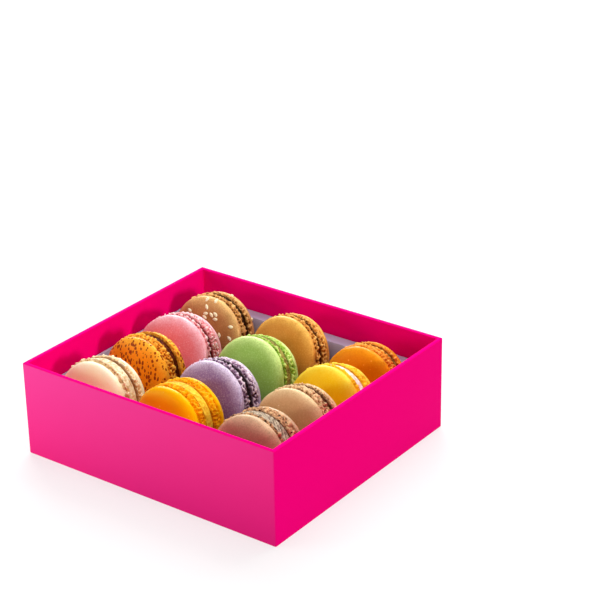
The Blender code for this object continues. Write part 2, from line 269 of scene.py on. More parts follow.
# Small dots on a dome: how far apart and how wide, the share of them that are there, and their colour.
Dots = namedtuple("Dots", "apart radius share colour")
DOTS = {
    "vanilla": Dots(0.0040, 0.00030, 0.55, (126, 92, 96)),
    "apricot": Dots(0.0034, 0.00050, 0.45, (255, 204, 70)),
    "tangerine": Dots(0.0034, 0.00055, 0.50, (252, 170, 62)),
    "coffee": Dots(0.0050, 0.00045, 0.40, (238, 206, 166)),
    "lemon": Dots(0.0060, 0.00025, 0.35, (176, 122, 20)),
    "rose": Dots(0.0050, 0.00035, 0.35, (255, 214, 214)),
}
# Holes in a foot, where they are large enough to see, painted as dark dots of shade.
SHADED_HOLES = {
    "cocoa": Dots(0.0024, 0.00080, 0.60, (44, 20, 12)),
    "caramel": Dots(0.0024, 0.00070, 0.50, (84, 34, 10)),
}

# Noise lies mostly in the first span, and its middle in the second.
NOISE_SPAN = (0.3, 0.7)
NOISE_MIDDLE = (0.35, 0.65)
WHITE = (1.0, 1.0, 1.0, 1.0)

# Sizes of the patterns on a shell, the share of the pits' colour in a dome's darker patches, and how
# strongly each pattern changes the colour: the span of its noise, and the shares at its two ends.
MOTTLE = 0.0045
GRAIN = 0.0007
CRUMB = 0.0008
COARSE_CRUMB = {"lilac": 0.0012}
DARKER = 0.14
MOTTLE_SHARE = (0.45, 0.75, 0.0, 0.5)
DARK_GRAIN_SHARE = (0.5, 0.3, 0.0, 0.7)
PALE_GRAIN_SHARE = (0.5, 0.75, 0.0, 0.3)
# What the crumb adds to how deep a foot lies. From the pits' depth down, lower still on a smoother foot,
# the foot fades to its pits' colour, painted shade, and over the crumbs' depths to its high crumbs'
# colour, painted highlight.
CRUMB_RELIEF = (-0.5, 0.5)
PIT_DEPTH = -0.45
PIT_FADE = 0.5
CRUMB_DEPTHS = (-0.15, 0.45)
# The painted shade in the gap by the filling has this share of the pits' colour, and more on a smoother
# foot.
GAP_SHADE = 0.5
# How rough the dome and its edge are, how much of the edge's mark makes it fully glossy, and how rough
# the foot is. Then how deep the finest relief is, and how strong on the dome and on the foot.
DOME_ROUGHNESS = 0.50
EDGE_ROUGHNESS = 0.17
FULL_GLOSS = 0.7
FOOT_ROUGHNESS = 0.75
SHELL_BUMP = 0.00012
BUMP_STRENGTHS = (0.16, 0.8)

# Flecks on a dome: how far apart, how they are turned and drawn out, how wide by the noise that groups
# them, and how soft their edge is. They and the holes are bent by noise.
FLECKED = "speckled"
FLECKS_APART = 0.0016
FLECK_TURN = (0.3, 0.9, 0.4)
FLECK_SCALE = (1.0, 1.0, 0.55)
FLECK_GROUPS = 0.005
FLECK_WIDTHS = (0.37, 0.61, 0.29, 0.48)
FLECK_EDGE = 0.06
FLECK_COLOUR = (150, 42, 14)
BEND_SIZE = 0.0012
BEND_REACH = 0.0009
# A dot fades in from its rim to this share of its radius. It is there where its point draws less than
# the share of dots, with a step so wide.
DOT_CORE = 0.6
DRAW_STEP = 0.01

# The filling: the size of its streaks, the noise over which they turn from shaded to face, and what the
# low part of the ridges' wave takes from them.
STREAK = 0.0018
STREAK_SPAN = (0.36, 0.58)
RIDGE_SHADE = (-1.0, -0.5, -0.16, 0.04)
FILLING_ROUGHNESS = (0.4, 0.6)
FILLING_BUMP = 0.0002

# A seed: the size of its darker patches, and the noise over which they darken.
SEED_TONE = 0.0016
SEED_TONE_SPAN = (0.5, 0.8)
SEED_COLOUR = (255, 244, 206)
SEED_SHADE = (226, 196, 138)
SEED_ROUGHNESS = (0.35, 0.5)
SEED_BUMP = 0.00008

# The card: the size of its fibre and of its clouds, then its colour and its clouds' colour, the painted
# light on the upper left and the painted shade on the low part of the front wall, the painted shade on
# the other outer walls and the painted light on the top edge.
FIBRE = 0.0004
CLOUD = 0.030
CARD_COLOUR = (0.89, 0.0, 0.17, 1.0)
CARD_DEEP = (0.86, 0.0, 0.16, 1.0)
CARD_PAINTED_LIGHT = (0.97, 0.061, 0.335, 1.0)
CARD_PAINTED_SHADE = (0.70, 0.0, 0.15, 1.0)
CARD_OUTER_PAINTED_SHADE = (0.70, 0.0, 0.145, 1.0)
CARD_EDGE_PAINTED_LIGHT = (1.0, 0.0, 0.215, 1.0)
CARD_IOR = 1.03
CARD_ROUGHNESS = (0.42, 0.54)
CARD_BUMP = 0.00002
# How high the painted shade on the low part reaches, and the painted light's share at the right end and
# at the bottom.
PAINTED_SHADE_TOP = 0.8 * TRAY_HEIGHT
PAINTED_LIGHT_AT_RIGHT = 0.5
PAINTED_LIGHT_AT_BOTTOM = 0.4

# The plastic: the size of its ripple and of its haze, and the two colours that the haze mixes.
RIPPLE = 0.006
HAZE = 0.012
PLASTIC_COLOUR = (0.39, 0.38, 0.53, 1.0)
PLASTIC_PALE = (0.45, 0.44, 0.60, 1.0)
PLASTIC_ROUGHNESS = (0.10, 0.20)
PLASTIC_BUMP = 0.0002

FLOOR_SIZE = 6.0
FLOOR_COLOUR = (0.36, 0.36, 0.36, 1.0)
FLOOR_ROUGHNESS = 0.9
FLOOR_GLOW = 0.60

# Square lights that face one point in the tray: their place, width and power in watts.
Light = namedtuple("Light", "name place width power")
LIGHTS = (
    Light("top", (0.0, 0.0, 1.0), 1.0, 6.4),
    Light("top_back", (0.0, 0.6, 0.85), 0.7, 4.4),
    Light("back_left", (-0.6, 0.6, 0.6), 0.7, 6.9),
    Light("right", (0.95, -0.1, 0.30), 0.2, 5.2),
    Light("front", (-0.50, -0.50, 0.14), 0.25, 1.95),
)
LIT_POINT = (0, 0, 0.03)
WORLD_LIGHT = 0.12

# The seeds on each dome: how far from the axis in mm, how far round it in degrees from its right side,
# and which way the seed points.
FRONT_SEEDS = (
    (16.7, 132, 35), (20.8, 93, 160), (21.4, 78, 5), (16.9, 90, 30), (13.2, 90, 105), (11.1, 92, 65),
    (13.8, 74, 60), (15.4, 66, 75), (13.1, 60, 130), (18.7, 29, 155), (10.8, 17, 80), (16.8, 9, 130),
    (14.5, 196, 65), (11.0, 250, 20), (17.0, 300, 50),
)
BACK_SEEDS = (
    (21.6, 79, 145), (21.6, 30, 165), (15.0, 105, 20), (11.5, 50, 70), (6.0, 140, 45), (13.5, 170, 15),
    (16.5, 210, 60), (9.5, 265, 30), (17.5, 320, 80),
)


def screen(red, green, blue):
    """A colour as the screen shows it, made linear."""
    def linear(level):
        share = level / 255
        return share / 12.92 if share <= 0.04045 else ((share + 0.055) / 1.055) ** 2.4
    return (linear(red), linear(green), linear(blue), 1.0)


def set_input(tree, socket, value):
    """Links the socket to another node's output, or sets the number or colour on it."""
    if isinstance(value, bpy.types.NodeSocket):
        tree.links.new(value, socket)
    else:
        socket.default_value = value


def add_node(tree, kind, inputs=None, **settings):
    """A shader node, its inputs given as numbers or as another node's outputs."""
    made = tree.nodes.new(kind)
    for name, value in settings.items():
        setattr(made, name, value)
    for socket, value in (inputs or {}).items():
        set_input(tree, made.inputs[socket], value)
    return made


def feed(tree, shader, **inputs):
    """Links outputs to the shader's inputs or sets values on them, named with underscores for spaces."""
    for name, value in inputs.items():
        set_input(tree, shader.inputs[name.replace("_", " ")], value)


def new_material(name):
    material = bpy.data.materials.new(name)
    material.use_nodes = True
    tree = material.node_tree
    return material, tree, tree.nodes["Principled BSDF"]


def object_place(tree):
    return add_node(tree, "ShaderNodeTexCoord").outputs["Object"]


def attribute(tree, name):
    return add_node(tree, "ShaderNodeAttribute", attribute_name=name).outputs["Fac"]


def noise(tree, place, size, detail, roughness=0.5):
    """Noise whose spots are about that size in metres."""
    inputs = {"Vector": place, "Scale": 1 / size, "Detail": detail, "Roughness": roughness}
    return add_node(tree, "ShaderNodeTexNoise", inputs).outputs["Fac"]


def cells(tree, place, size):
    """A node that scatters points about that far apart and gives the nearest one's distance and colour."""
    return add_node(tree, "ShaderNodeTexVoronoi", {"Vector": place, "Scale": 1 / size})


def spread(tree, value, low, high, to_low=0.0, to_high=1.0):
    inputs = {"Value": value, "From Min": low, "From Max": high, "To Min": to_low, "To Max": to_high}
    return add_node(tree, "ShaderNodeMapRange", inputs).outputs["Result"]


def maths(tree, operation, first, second=0.0):
    return add_node(tree, "ShaderNodeMath", {0: first, 1: second}, operation=operation).outputs[0]


def mix(tree, share, first, second):
    """Mixes two colours. The node's sockets share their names, so they go by number."""
    inputs = {0: share, 6: first, 7: second}
    return add_node(tree, "ShaderNodeMix", inputs, data_type="RGBA").outputs[2]


def mix_value(tree, share, first, second):
    inputs = {0: share, 2: first, 3: second}
    return add_node(tree, "ShaderNodeMix", inputs, data_type="FLOAT").outputs[0]


def bump(tree, height, distance, strength):
    inputs = {"Height": height, "Distance": distance, "Strength": strength}
    return add_node(tree, "ShaderNodeBump", inputs).outputs["Normal"]


def front_wall_painted_light_and_shade(tree, colour, along, across, up):
    """The card's colour, with painted shade low on the front wall and painted light towards its upper
    left.
    """
    front = spread(tree, across, CARD_ROUND - TRAY_WIDTH / 2, -TRAY_WIDTH / 2)
    # Painted shade: deeper low on the front wall, fading in from its left end to its middle.
    middle = spread(tree, along, -TRAY_LENGTH / 2, 0.0)
    low = maths(tree, "MULTIPLY", middle, spread(tree, up, 0.0, PAINTED_SHADE_TOP, 1.0, 0.0))
    colour = mix(tree, maths(tree, "MULTIPLY", front, low), colour, CARD_PAINTED_SHADE)
    # Painted light: paler towards the upper left of the front wall.
    left = spread(tree, along, -TRAY_LENGTH / 2, TRAY_LENGTH / 2, 1.0, PAINTED_LIGHT_AT_RIGHT)
    high = spread(tree, up, 0.0, TRAY_HEIGHT, PAINTED_LIGHT_AT_BOTTOM, 1.0)
    pale_and_painted_light = maths(tree, "MULTIPLY", front, maths(tree, "MULTIPLY", left, high))
    return mix(tree, pale_and_painted_light, colour, CARD_PAINTED_LIGHT)


def card_material():
    """Dyed paper over card with a faint fibre, painted shade on its side and back walls, painted light on
    its top edge.
    """
    material, tree, shader = new_material("pink_card_paper")
    place = object_place(tree)
    fibre = noise(tree, place, FIBRE, detail=4)
    cloud = noise(tree, place, CLOUD, detail=2)
    along, across, up = add_node(tree, "ShaderNodeSeparateXYZ", {"Vector": place}).outputs
    colour = mix(tree, spread(tree, cloud, *NOISE_MIDDLE), CARD_COLOUR, CARD_DEEP)
    colour = front_wall_painted_light_and_shade(tree, colour, along, across, up)
    # Painted shade on the outer end walls and the outer back wall.
    end = spread(tree, maths(tree, "ABSOLUTE", along), TRAY_LENGTH / 2 - CARD_ROUND, TRAY_LENGTH / 2)
    rear = spread(tree, across, TRAY_WIDTH / 2 - CARD_ROUND, TRAY_WIDTH / 2)
    colour = mix(tree, maths(tree, "MAXIMUM", end, rear), colour, CARD_OUTER_PAINTED_SHADE)
    # Painted light on the top edge of the walls, as lit from above.
    top = spread(tree, up, TRAY_HEIGHT - CARD_ROUND, TRAY_HEIGHT - CARD_ROUND / 3)
    feed(
        tree, shader,
        Base_Color=mix(tree, top, colour, CARD_EDGE_PAINTED_LIGHT),
        Roughness=spread(tree, fibre, *NOISE_SPAN, *CARD_ROUGHNESS),
        Normal=bump(tree, fibre, CARD_BUMP, strength=0.5),
        IOR=CARD_IOR,
    )
    return material


def plastic_material():
    """Thin formed plastic, milky and glossy, slightly rippled by the mould."""
    material, tree, shader = new_material("formed_plastic")
    place = object_place(tree)
    ripple = noise(tree, place, RIPPLE, detail=1)
    haze = noise(tree, place, HAZE, detail=3)
    feed(
        tree, shader,
        Base_Color=mix(tree, spread(tree, haze, *NOISE_MIDDLE), PLASTIC_COLOUR, PLASTIC_PALE),
        Roughness=spread(tree, haze, *NOISE_SPAN, *PLASTIC_ROUGHNESS),
        Normal=bump(tree, ripple, PLASTIC_BUMP, strength=0.6),
        Coat_Weight=0.5,
        Coat_Roughness=0.06,
    )
    return material


def bent_place(tree, place):
    """The place, pushed to and fro by noise so that what it draws is uneven."""
    inputs = {"Vector": place, "Scale": 1 / BEND_SIZE, "Detail": 2.0}
    colour = add_node(tree, "ShaderNodeTexNoise", inputs).outputs["Color"]
    reach = (BEND_REACH, BEND_REACH, BEND_REACH)
    push = add_node(tree, "ShaderNodeVectorMath", {0: colour, 1: reach}, operation="MULTIPLY").outputs[0]
    return add_node(tree, "ShaderNodeVectorMath", {0: place, 1: push}, operation="ADD").outputs[0]


def fleck_mask(tree, place):
    """Dark flecks of uneven size and shape, a little apart from each other."""
    inputs = {"Vector": bent_place(tree, place), "Rotation": FLECK_TURN, "Scale": FLECK_SCALE}
    slanted = add_node(tree, "ShaderNodeMapping", inputs).outputs[0]
    near = cells(tree, slanted, FLECKS_APART).outputs["Distance"]
    size = spread(tree, noise(tree, place, FLECK_GROUPS, detail=1), *FLECK_WIDTHS)
    return spread(tree, maths(tree, "SUBTRACT", size, near), 0.0, FLECK_EDGE)


def dot_mask(tree, place, dots):
    """Round dots, some of the points that lie about as far apart as told."""
    found = cells(tree, place, dots.apart)
    drawn = add_node(tree, "ShaderNodeSeparateColor", {"Color": found.outputs["Color"]}).outputs[0]
    there = spread(tree, drawn, dots.share + DRAW_STEP, dots.share)
    size = dots.radius / dots.apart
    return maths(tree, "MULTIPLY", there, spread(tree, found.outputs["Distance"], size, DOT_CORE * size))


def dome_colour(tree, name, place, grain):
    """A baked dome: a paler rim with painted highlight, strongest towards the crown, mottled and grained,
    and any flecks or dots on it.
    """
    look = LOOKS[name]
    mottle = noise(tree, place, MOTTLE, detail=3, roughness=0.6)
    darker = mix(tree, DARKER, screen(*look.dome), screen(*look.pit))
    # A paler rim with painted highlight, strongest towards the crown.
    colour = mix(tree, attribute(tree, "edge"), screen(*look.dome), screen(*look.edge))
    colour = mix(tree, spread(tree, mottle, *MOTTLE_SHARE), colour, darker)
    colour = mix(tree, spread(tree, grain, *DARK_GRAIN_SHARE), colour, darker)
    colour = mix(tree, spread(tree, grain, *PALE_GRAIN_SHARE), colour, screen(*look.edge))
    if name == FLECKED:
        colour = mix(tree, fleck_mask(tree, place), colour, screen(*FLECK_COLOUR))
    if name in DOTS:
        colour = mix(tree, dot_mask(tree, place, DOTS[name]), colour, screen(*DOTS[name].colour))
    return colour


def foot_colour(tree, name, place, crumb):
    """A crumb foot: painted highlight on its high crumbs, and painted shade in its pits, in any large
    holes and in the gap by the filling.
    """
    look = LOOKS[name]
    # Painted shade in the pits and painted highlight on the high crumbs, by how deep each point lies.
    relief = spread(tree, crumb, *NOISE_SPAN, *CRUMB_RELIEF)
    height = maths(tree, "ADD", attribute(tree, "depth"), relief)
    shallow = PIT_DEPTH - (1 - look.rough)
    foot = spread(tree, height, shallow - PIT_FADE, shallow)
    colour = mix(tree, foot, screen(*look.pit), screen(*look.foot))
    colour = mix(tree, spread(tree, height, *CRUMB_DEPTHS), colour, screen(*look.crumb))
    # Painted shade in the large holes of the foot.
    if name in SHADED_HOLES:
        shaded_holes = dot_mask(tree, bent_place(tree, place), SHADED_HOLES[name])
        colour = mix(tree, shaded_holes, colour, screen(*SHADED_HOLES[name].colour))
    # Painted shade in the gap by the filling.
    shade = GAP_SHADE + 1 - look.rough
    painted_gap_shade = [shade * level for level in screen(*look.pit)[:3]] + [1.0]
    return mix(tree, attribute(tree, "inner"), colour, painted_gap_shade)


def shell_material(name):
    """A baked almond shell: a satin dome, glossier at its edge, over a rough crumb foot."""
    material, tree, shader = new_material(f"{name}_shell")
    place = object_place(tree)
    foot = attribute(tree, "foot")
    grain = noise(tree, place, GRAIN, detail=3, roughness=0.7)
    crumb = noise(tree, place, COARSE_CRUMB.get(name, CRUMB), detail=4, roughness=0.75)
    dome = dome_colour(tree, name, place, grain)
    satin = spread(tree, attribute(tree, "rim"), 0.0, FULL_GLOSS, DOME_ROUGHNESS, EDGE_ROUGHNESS)
    strength = spread(tree, foot, 0.0, 1.0, *BUMP_STRENGTHS)
    feed(
        tree, shader,
        Base_Color=mix(tree, foot, dome, foot_colour(tree, name, place, crumb)),
        Roughness=mix_value(tree, foot, satin, FOOT_ROUGHNESS),
        Normal=bump(tree, mix_value(tree, foot, grain, crumb), SHELL_BUMP, strength),
        Subsurface_Weight=0.08,
        Subsurface_Radius=(1.0, 0.5, 0.3),
        Subsurface_Scale=0.0008,
        Specular_IOR_Level=0.5,
        Specular_Tint=screen(*LOOKS[name].edge),
    )
    return material


def filling_material(name):
    """Soft filling, streaked and unevenly smooth, shaded between its ridges where it has them."""
    look = LOOKS[name]
    material, tree, shader = new_material(f"{name}_filling")
    streak = noise(tree, object_place(tree), STREAK, detail=4, roughness=0.6)
    if name in RIDGED:
        streak = maths(tree, "ADD", streak, spread(tree, attribute(tree, "ridge"), *RIDGE_SHADE))
    face = spread(tree, streak, *STREAK_SPAN)
    feed(
        tree, shader,
        Base_Color=mix(tree, face, screen(*look.filling_shade), screen(*look.filling)),
        Roughness=spread(tree, streak, *NOISE_SPAN, *FILLING_ROUGHNESS),
        Normal=bump(tree, streak, FILLING_BUMP, strength=0.6),
        Subsurface_Weight=0.08,
        Subsurface_Radius=(1.0, 0.6, 0.4),
        Subsurface_Scale=0.0008,
        Specular_IOR_Level=0.15,
        Specular_Tint=screen(*look.filling),
    )
    return material


def seed_material():
    """Hulled sesame, creamy with darker patches."""
    material, tree, shader = new_material("sesame_seed")
    tone = noise(tree, object_place(tree), SEED_TONE, detail=3)
    dark = spread(tree, tone, *SEED_TONE_SPAN)
    feed(
        tree, shader,
        Base_Color=mix(tree, dark, screen(*SEED_COLOUR), screen(*SEED_SHADE)),
        Roughness=spread(tree, tone, *NOISE_SPAN, *SEED_ROUGHNESS),
        Normal=bump(tree, tone, SEED_BUMP, strength=0.5),
        Subsurface_Weight=0.05,
        Subsurface_Scale=0.0008,
    )
    return material


def only(piece):
    """Selects one piece and makes it the active one."""
    bpy.ops.object.select_all(action="DESELECT")
    piece.select_set(True)
    bpy.context.view_layer.objects.active = piece


def name_piece(name):
    piece = bpy.context.active_object
    piece.name = piece.data.name = name
    return piece


def apply_all(piece):
    only(piece)
    for modifier in list(piece.modifiers):
        bpy.ops.object.modifier_apply(modifier=modifier.name)


def settle(piece):
    """Puts the piece's place into its mesh, so that its object stands at the origin."""
    only(piece)
    bpy.ops.object.transform_apply(location=True, rotation=True, scale=True)


def points_of(piece):
    points = np.empty(len(piece.data.vertices) * 3)
    piece.data.vertices.foreach_get("co", points)
    return points.reshape(-1, 3)


def set_points(piece, points):
    piece.data.vertices.foreach_set("co", np.asarray(points, np.float32).ravel())
    piece.data.update()


def moved(points, matrix):
    """The points, turned and moved by the matrix."""
    matrix = np.array(matrix)
    return points @ matrix[:3, :3].T + matrix[:3, 3]


def turned_piece(name, section):
    """A closed piece turned about Z from its section, a run of (radius, height) points."""
    bpy.ops.object.select_all(action="DESELECT")
    bpy.ops.mesh.primitive_plane_add(size=MM)
    piece = name_piece(name)
    bpy.ops.object.mode_set(mode="EDIT")
    bpy.ops.mesh.select_mode(type="VERT")
    bpy.ops.mesh.select_all(action="SELECT")
    bpy.ops.mesh.merge(type="CENTER")
    bpy.ops.transform.translate(value=(section[0][0], 0, section[0][1]))
    for (radius, height), (next_radius, next_height) in zip(section, section[1:]):
        step = (next_radius - radius, 0, next_height - height)
        bpy.ops.mesh.extrude_region_move(TRANSFORM_OT_translate={"value": step})
    bpy.ops.mesh.select_all(action="SELECT")
    bpy.ops.mesh.spin(steps=TURN_STEPS, angle=math.tau, center=(0, 0, 0), axis=(0, 0, 1))
    bpy.ops.mesh.select_all(action="SELECT")
    bpy.ops.mesh.remove_doubles(threshold=WELD)
    bpy.ops.mesh.normals_make_consistent(inside=False)
    bpy.ops.object.mode_set(mode="OBJECT")
    return piece


def column_x(column):
    return (column - (COLUMNS - 1) / 2) * COLUMN_PITCH


def row_y(row):
    return ROWS_MIDDLE_Y + (row - (ROWS - 1) / 2) * ROW_PITCH


def macaron_place(macaron):
    right, back, up = (away * MM for away in macaron.shift)
    place = (column_x(macaron.column) + right, row_y(macaron.row) + back, MIDDLE_Z + up)
    turn = Euler((math.radians(90 - macaron.lean), 0, math.radians(macaron.yaw)))
    return Matrix.LocRotScale(Vector(place), turn, None)


def shell_radius(macaron):
    return macaron.diameter * MM / 2


def crease_and_dome(macaron, side):
    """Where a shell's crease lies on the macaron's axis, and how high its dome stands over the lip."""
    if side > 0:
        return macaron.crease * MM, DOME_HEIGHT
    return macaron.back_crease * MM + BACK_TRIM, DOME_HEIGHT + BACK_TRIM


def dome_height(radius, dome_radius, dome):
    return dome * (1 - (radius / dome_radius) ** DOME_POWER) ** (1 / DOME_POWER)


def shell_section(radius, crease, joint, dome, dome_width):
    """A shell's section, dome up: dome, rolled lip, crease, foot and flat inner face."""
    section = []
    for ring in range(DOME_RINGS + 1):
        turn = math.pi / 2 * ring / DOME_RINGS
        out = dome_width * radius * math.sin(turn) ** (2 / DOME_POWER)
        up = dome * max(math.cos(turn), 0) ** (2 / DOME_POWER)
        section.append((out, crease + LIP + up))
    crease_width = min(CREASE_WIDTH, dome_width - DOME_WIDTH + CREASE_WIDTH)
    lip_width = dome_width * (1 - LIP_IN) + crease_width * LIP_IN
    section.append((lip_width * radius, crease + LIP_UP * LIP))
    section.append((crease_width * radius, crease))
    rows = max(LEAST_FOOT_ROWS, round((crease - joint) / FOOT_ROW))
    for row in range(1, rows):
        down = row / rows
        swell = min(1.0, math.sin(math.pi * down) * FOOT_SWELL)
        start = crease_width if down < 0.5 else FOOT_EDGE_WIDTH
        width = start + (FOOT_WIDTH - start) * swell
        section.append((width * radius, crease + (joint - crease) * down))
    for width in (FOOT_EDGE_WIDTH, INNER_WIDTH, INNER_RING):
        section.append((width * radius, joint))
    section.append((0, joint))
    return section


def filling_section(radius, top, bottom, width):
    """A filling's section: two flat faces, and a side that bulges between the shells."""
    rows = max(LEAST_FILLING_ROWS, round((top - bottom) / FOOT_ROW))
    section = [(0, top), (INNER_RING * radius, top)]
    for row in range(rows + 1):
        down = row / rows
        out = (width + FILLING_BULGE * math.sin(math.pi * down)) * radius
        section.append((out, top + (bottom - top) * down))
    return section + [(INNER_RING * radius, bottom), (0, bottom)]


def set_weights(piece, name, weights):
    """A vertex group from one weight a point, in tenths."""
    group = piece.vertex_groups.new(name=name)
    tenths = np.round(np.asarray(weights) * 10).astype(int)
    for level in range(1, 11):
        group.add(np.flatnonzero(tenths == level).tolist(), level / 10, "REPLACE")


def set_attribute(piece, name, values):
    layer = piece.data.attributes.new(name, "FLOAT", "POINT")
    layer.data.foreach_set("value", np.asarray(values, np.float32))


def cloud_texture(name, size, depth):
    texture = bpy.data.textures.new(name, "CLOUDS")
    texture.noise_scale = size
    texture.noise_depth = depth
    return texture


def cell_texture(name, size, contrast, intensity):
    texture = bpy.data.textures.new(name, "VORONOI")
    texture.noise_scale = size
    texture.contrast = contrast
    texture.intensity = intensity
    return texture


# Relief on a macaron: its texture, how far it moves points along their normals, and the level of the
# texture that stays where it is.
Relief = namedtuple("Relief", "texture far level")
FRILLS = Relief(cloud_texture("frills", 0.0012, 3), 0.0013, 0.55)
PITS = Relief(cell_texture("pits", 0.0016, 4.0, 1.3), 0.0009, 1.0)
CRACKS = Relief(cloud_texture("cracks", 0.0030, 2), 0.0016, 0.68)
SWELLS = Relief(cloud_texture("swells", 0.012, 1), 0.0006, 0.5)
FILLING_SWELLS = Relief(cloud_texture("filling_swells", 0.0035, 2), 0.0014, 0.6)


def displace(piece, relief, group, share=1.0):
    """Gives the group's points the relief, or a share of it."""
    change = piece.modifiers.new(relief.texture.name, "DISPLACE")
    change.texture = relief.texture
    change.texture_coords = "LOCAL"
    change.direction = "NORMAL"
    change.strength = relief.far * share
    change.mid_level = relief.level
    change.vertex_group = group


def wandering(draw, angle, turns):
    """A line that wanders as it goes round, from waves of the given numbers of turns."""
    line = 0
    for count in turns:
        height = draw.uniform(LEAST_WAVE, 1.0) / count**WAVE_FADE
        line = line + height * np.cos(count * angle + draw.uniform(0, math.tau))
    return line


def shape_by_hand(piece, macaron, draw, crease=None, joint=None):
    """Makes a piece a little out of round, slopes it with the filling and lets a shell's lines wander."""
    points = points_of(piece)
    x, y, z = points.T
    angle = np.arctan2(y, x)
    oval, lobes = draw.uniform(0, math.tau), draw.uniform(0, math.tau)
    grow = 1 + OVAL * np.cos(2 * angle + oval) + LOBES * np.cos(3 * angle + lobes)
    radius = shell_radius(macaron)
    down = np.ones(len(z)) if crease is None else np.clip((crease - z) / (crease - joint), 0, 1)
    slope = (macaron.rise * y + macaron.swing * x) / radius * MM
    points[:, 0] = x * grow
    points[:, 1] = y * grow
    points[:, 2] = z + down * slope
    if crease is not None:
        away = np.hypot(x, y) / radius
        for line, wander in ((crease, CREASE_WANDER), (joint, JOINT_WANDER)):
            near = np.exp(-(((z - line) / wander.reach) ** 2)) * (away > wander.beyond)
            points[:, 2] += wander.far * wandering(draw, angle, wander.waves) * near
    set_points(piece, points)


def mark_shell(piece, macaron, side, crease, joint):
    """Marks the foot, the gap by the filling, which gets painted shade, and the dome's glossy and pale
    edge, a paler rim with painted highlight towards the crown, for the material, and how strongly each
    relief is to move each point."""
    x, y, z = points_of(piece).T
    angle = np.arctan2(y, x)
    away = np.hypot(x, y) / shell_radius(macaron)
    down = side * (crease - z) / abs(crease - joint)
    above = side * (z - crease)
    outer = away > SIDE_START
    dome = down < 0
    shaded_gap_share = WIDE_SHADED_GAPS.get(macaron.name, SHADED_GAP)
    glossy = np.clip((away - GLOSS_START) / (1 - GLOSS_START), 0, 1) ** GLOSS_POWER
    pale_and_painted_light = np.clip((away - PALE_START) / (1 - PALE_START), 0, 1) ** PALE_POWER
    # Painted highlight: the pale edge grows towards the crown, as lit from above.
    crown = np.clip(PAINTED_LIGHT_SIDES + PAINTED_LIGHT_CROWN * np.sin(angle), LEAST_PAINTED_LIGHT, 1)
    set_attribute(piece, "foot", np.where(outer, np.clip(1 - above / FOOT_FADE, 0, 1), down > 0.5))
    # The inner mark carries painted shade into the gap by the filling.
    set_attribute(piece, "inner", np.clip((down - 1 + shaded_gap_share) / (SHADED_GAP_FADE * shaded_gap_share), 0, 1))
    set_attribute(piece, "rim", glossy * dome)
    # The edge mark: a paler rim, with painted highlight towards the crown.
    set_attribute(piece, "edge", pale_and_painted_light * dome * crown)

    patches = PATCH_LEVEL + PATCH_REACH * wandering(random.Random(macaron.name), angle, PATCH_WAVES)
    ruffled = np.where(outer & (down > RUFFLE_TOP), np.clip(patches, LEAST_PATCH, 1), 0)
    set_weights(piece, "foot_rows", ruffled * np.clip(RUFFLE_FADE - RUFFLE_FADE * down, LEAST_RUFFLE, 1))
    set_weights(piece, "crease_rows", np.exp(-((above / CRACK_REACH) ** 2)) * outer)
    swelling = 1.0 - SWELL_LOSS * np.clip(away, 0, 1) ** SWELL_LOSS_POWER
    set_weights(piece, "dome_rows", np.where(dome, swelling, 0))


def ruffle_shell(piece, macaron, side):
    """Puts the shell in its place, gives it its relief and keeps how deep each point of it lies."""
    rough = LOOKS[macaron.name].rough
    ruffle = rough if side > 0 else rough * SMOOTH_BACKS.get(macaron.name, 1)
    place = macaron_place(macaron)
    piece.matrix_world = place
    settle(piece)
    before = moved(points_of(piece), place.inverted())
    displace(piece, SWELLS, "dome_rows")
    displace(piece, PITS, "foot_rows", ruffle)
    displace(piece, FRILLS, "foot_rows", ruffle)
    displace(piece, CRACKS, "crease_rows")
    apply_all(piece)
    after = moved(points_of(piece), place.inverted())
    reach = np.hypot(after[:, 0], after[:, 1])
    change = reach - np.hypot(before[:, 0], before[:, 1])
    set_attribute(piece, "depth", np.clip(change / (FULL_DEPTH * rough + LEAST_DEPTH), -1, 1))
    crown = np.clip(CREST_SPREAD * after[:, 1] / np.maximum(reach, MM), 0, 1)
    limit = shell_radius(macaron) + CREST * crown
    after[:, :2] *= np.minimum(1, limit / np.maximum(reach, MM))[:, None]
    set_points(piece, keep_below_top(moved(after, place)))


def keep_below_top(points):
    """Presses what stands higher than the solids do down to their height."""
    top = cad_box[1][2]
    height = points[:, 2].max()
    if height > top:
        high = points[:, 2] > top - MM
        points[high, 2] = top - MM + (points[high, 2] - top + MM) * MM / (height - top + MM)
    return points


def shade(piece, degrees):
    only(piece)
    bpy.ops.object.shade_smooth_by_angle(angle=math.radians(degrees))


def make_shell(macaron, side, number, material):
    """A macaron's front shell, side 1, or its back shell, side -1."""
    name = f"{macaron.name}_{'front' if side > 0 else 'back'}"
    crease, dome = crease_and_dome(macaron, side)
    joint = (macaron.filling_front if side > 0 else macaron.filling_back) * MM + side * GAP / 2
    dome_width = NARROW_DOMES.get(macaron.name, DOME_WIDTH)
    section = shell_section(shell_radius(macaron), side * crease, side * joint, dome, dome_width)
    piece = turned_piece(f"{name}_shell", section)
    if side < 0:
        piece.rotation_euler.x = math.pi
        settle(piece)
    shape_by_hand(piece, macaron, random.Random(number), crease, joint)
    mark_shell(piece, macaron, side, crease, joint)
    ruffle_shell(piece, macaron, side)
    shade(piece, SHELL_SMOOTH)
    piece.data.materials.append(material)
    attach(piece, "root")
    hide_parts(name)


